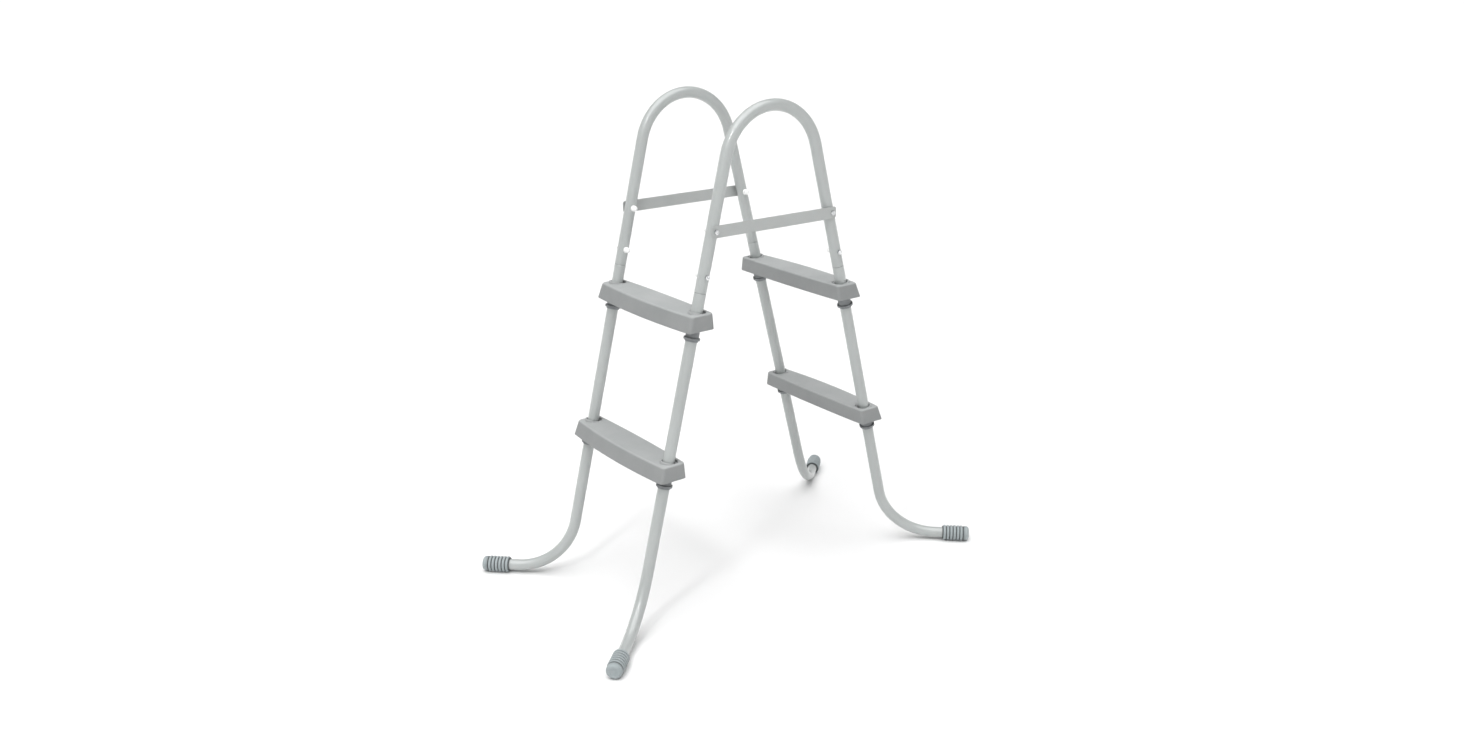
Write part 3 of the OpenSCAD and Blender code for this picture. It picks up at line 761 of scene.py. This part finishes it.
# ---------------------------------------------------------------- camera and light
CAMERA_SENSOR = 36
CAMERA_LENS = 30.145
CAMERA_PLACE = Vector((-1.587, -2.1674, 1.3935))
CAMERA_YAW = math.radians(36.33)
CAMERA_PITCH = math.radians(-18.97)
CAMERA_ROLL = math.radians(-0.53)

SKY_HORIZON = 0.85
SKY_OVERHEAD = 0.2
SKY_FADE_END = 0.4
FLOOR_DARK = (0.83, 0.83, 0.83)
FLOOR_LIGHT = (0.85, 0.85, 0.85)
FLOOR_HALF_SIZE = 300


def place_camera():
    """Camera at the photograph's place: front right, a little above the handrails."""
    data = bpy.data.cameras.new("camera")
    data.sensor_width = CAMERA_SENSOR
    data.lens = CAMERA_LENS
    camera = bpy.data.objects.new("camera", data)
    bpy.context.scene.collection.objects.link(camera)
    camera.location = CAMERA_PLACE
    camera.rotation_mode = "QUATERNION"
    level = math.cos(CAMERA_PITCH)
    ahead = Vector((math.sin(CAMERA_YAW) * level, math.cos(CAMERA_YAW) * level, math.sin(CAMERA_PITCH)))
    roll = Matrix.Rotation(CAMERA_ROLL, 3, "Z").to_quaternion()
    camera.rotation_quaternion = ahead.to_track_quat("-Z", "Y") @ roll
    bpy.context.scene.camera = camera


def aim(light, towards):
    """Turns a light so that it shines along a direction."""
    light.rotation_mode = "QUATERNION"
    light.rotation_quaternion = Vector(towards).to_track_quat("-Z", "Y")


def sun(name, towards, strength, softness):
    """Even light from one side, as soft as its disc is wide."""
    data = bpy.data.lights.new(name, "SUN")
    data.energy, data.angle = strength, math.radians(softness)
    light = bpy.data.objects.new(name, data)
    aim(light, towards)
    bpy.context.scene.collection.objects.link(light)


def softbox(name, place, width, height, power):
    """Rectangular soft light aimed at the middle of the ladder."""
    data = bpy.data.lights.new(name, "AREA")
    data.shape = "RECTANGLE"
    data.size, data.size_y, data.energy = width, height, power
    light = bpy.data.objects.new(name, data)
    light.location = place
    aim(light, (cad_box[0] + cad_box[1]) / 2 - Vector(place))
    bpy.context.scene.collection.objects.link(light)


def studio():
    """Sky that is palest at the horizon, pale floor, two broad even lights and a softbox for the gloss."""
    scene = bpy.context.scene
    scene.view_settings.view_transform = "Standard"
    world = bpy.data.worlds.new("studio")
    world.use_nodes = True
    background = world.node_tree.nodes["Background"]
    up = world.node_tree.nodes.new("ShaderNodeSeparateXYZ")
    sky = world.node_tree.nodes.new("ShaderNodeValToRGB")
    place = world.node_tree.nodes.new("ShaderNodeTexCoord")
    world.node_tree.links.new(place.outputs["Generated"], up.inputs["Vector"])
    world.node_tree.links.new(up.outputs["Z"], sky.inputs["Fac"])
    world.node_tree.links.new(sky.outputs["Color"], background.inputs["Color"])
    sky.color_ramp.elements[0].color = (SKY_HORIZON, SKY_HORIZON, SKY_HORIZON, 1)
    sky.color_ramp.elements[1].color = (SKY_OVERHEAD, SKY_OVERHEAD, SKY_OVERHEAD, 1)
    sky.color_ramp.elements[1].position = SKY_FADE_END
    scene.world = world

    mesh = bmesh.new()
    bmesh.ops.create_grid(mesh, x_segments=2, y_segments=2, size=FLOOR_HALF_SIZE)
    floor = to_object("floor", mesh)
    paint = Paint("floor")
    paint.colour(paint.noise(3, 3), FLOOR_DARK, FLOOR_LIGHT)
    paint.roughness(paint.noise(20, 2), 0.8, 0.9)
    floor.data.materials.append(paint.material)

    sun("top", towards=(0.1, 0.1, -1), strength=3.0, softness=75)
    sun("key", towards=(0.56, 0.32, -0.77), strength=0.5, softness=60)
    softbox("gloss", place=(-2.2, -1.2, 3.0), width=0.35, height=0.7, power=20)


# ---------------------------------------------------------------- assembly
place_camera()

for side_name, side in SIDES.items():
    place = Matrix.Translation((0, side * HALF_SPACING, 0))
    rail = copies(f"handrail_{side_name}_visual", tube(bow_path()), [place])
    finish_piece(rail, "tube_coating", TUBE_PAINT, f"handrail_{side_name}")
    strap = strap_object(f"strap_{side_name}", side)
    keep_faces_flat(strap)
    finish_piece(strap, "strap_coating", STRAP_PAINT, f"strap_{side_name}")

leg_source, boot_source = tube(leg_path()), boot_mesh()
for face_name, face in FACES.items():
    for side_name, side in SIDES.items():
        corner = at_leg(face, side, FOOT_HEIGHT)
        twist = Matrix.Rotation(FOOT_TWIST, 4, "Z")
        leg = copies(f"leg_{face_name}_{side_name}_visual", leg_source, [corner @ twist])
        # Painted shade: the leg's colour is darkened in the shoulder groove at the seam, standing in for the
        # shadow there.
        to_leg = corner.inverted()
        mark_hollows(leg, lambda point: seam_measure(to_leg @ point), TUBE_RADIUS - SHOULDER_DEPTH,
                     TUBE_RADIUS - SHOULDER_DEPTH / 4)
        finish_piece(leg, "tube_coating", TUBE_PAINT, f"leg_{face_name}_{side_name}")
        boot = copies(f"boot_{face_name}_{side_name}_visual", boot_source, [corner @ foot_end()],
                      BOOT_SMOOTH_ANGLE)
        # Painted shade: the boot's colour is darkened in the grooves between the ribs, standing in for the
        # shade there.
        to_foot = (corner @ foot_end()).inverted()
        mark_hollows(boot, lambda point: groove_measure(to_foot @ point), BOOT_SLEEVE_RADIUS,
                     BOOT_SLEEVE_RADIUS + BOOT_GROOVE_FADE)
        finish_piece(boot, "boot_rubber", BOOT_PAINT, f"boot_{face_name}_{side_name}")

master = tread_object()
for face_name, face in FACES.items():
    for level, height in TREAD_HEIGHTS.items():
        source = bmesh.new()
        source.from_mesh(master.data)
        place = Matrix.Diagonal((face, 1, 1, 1)) @ Matrix.Translation((leg_x(height), 0, height))
        tread = copies(f"tread_{face_name}_{level}_visual", source, [place])
        # Painted shade: the tread's sides below the top edge are darker in colour than its top, standing in
        # for how the light falls.
        mark_hollows(tread, lambda point: point.z, height - TREAD_SHADE_FULL, height - TREAD_SHADE_START)
        keep_faces_flat(tread)
        finish_piece(tread, "tread_plastic", TREAD_PAINT, f"tread_{face_name}_{level}")
bpy.data.objects.remove(master)

CORNERS = [(face, side) for face in (FRONT, REAR) for side in (RIGHT, LEFT)]
for group, height, seat in (("strap", STRAP_HEIGHT, TUBE_RADIUS + STRAP_THICKNESS),
                            ("splice", SPLICE_BOLT_HEIGHT, TUBE_RADIUS)):
    places = [at_bolt(face, side, height) for face, side in CORNERS]
    bolts = copies(f"{group}_bolts_visual", bolt_mesh(seat), places)
    finish_piece(bolts, "zinc_plate", ZINC_PAINT, f"{group}_bolts")
    caps = copies(f"{group}_nut_caps_visual", cap_mesh(), places)
    finish_piece(caps, "cap_plastic", CAP_PAINT, f"{group}_nut_caps")

for name, node in nodes.items():
    if name.startswith("collar"):
        node.data.materials.clear()
        node.data.materials.append(COLLAR_PAINT)
    elif name.endswith("_nuts"):
        node.data.materials.clear()
        node.data.materials.append(ZINC_PAINT)

studio()
